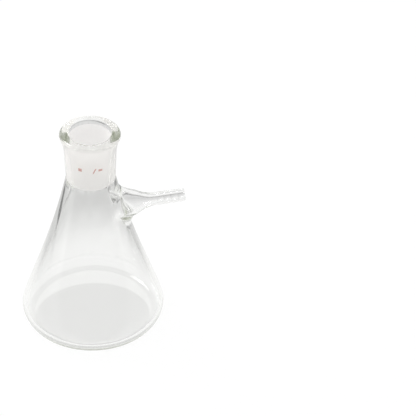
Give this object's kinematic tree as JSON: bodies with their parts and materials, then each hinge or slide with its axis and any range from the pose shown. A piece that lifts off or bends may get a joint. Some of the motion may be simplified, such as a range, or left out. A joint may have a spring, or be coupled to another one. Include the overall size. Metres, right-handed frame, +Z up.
{
  "type": "filter flask",
  "caption": "Conical vacuum filter flask in heavy-wall glass, with a ground socket mouth, a rounded lip and a barbed side arm for a hose.",
  "frame": {"origin": "centre of the foot ring, on the plane that the flask stands on; the flask's axis passes through it", "axes": "+Z up along the flask's axis, +X along the side arm, +Y to the side so that the frame is right-handed"},
  "size_m": [0.1198, 0.105, 0.1622],
  "materials": {
    "clear_glass": "clear borosilicate glass, fire polished, with a finely ground socket bore"
  },
  "bodies": {
    "root": {"filter_flask": "clear_glass"}
  },
  "joints": []
}
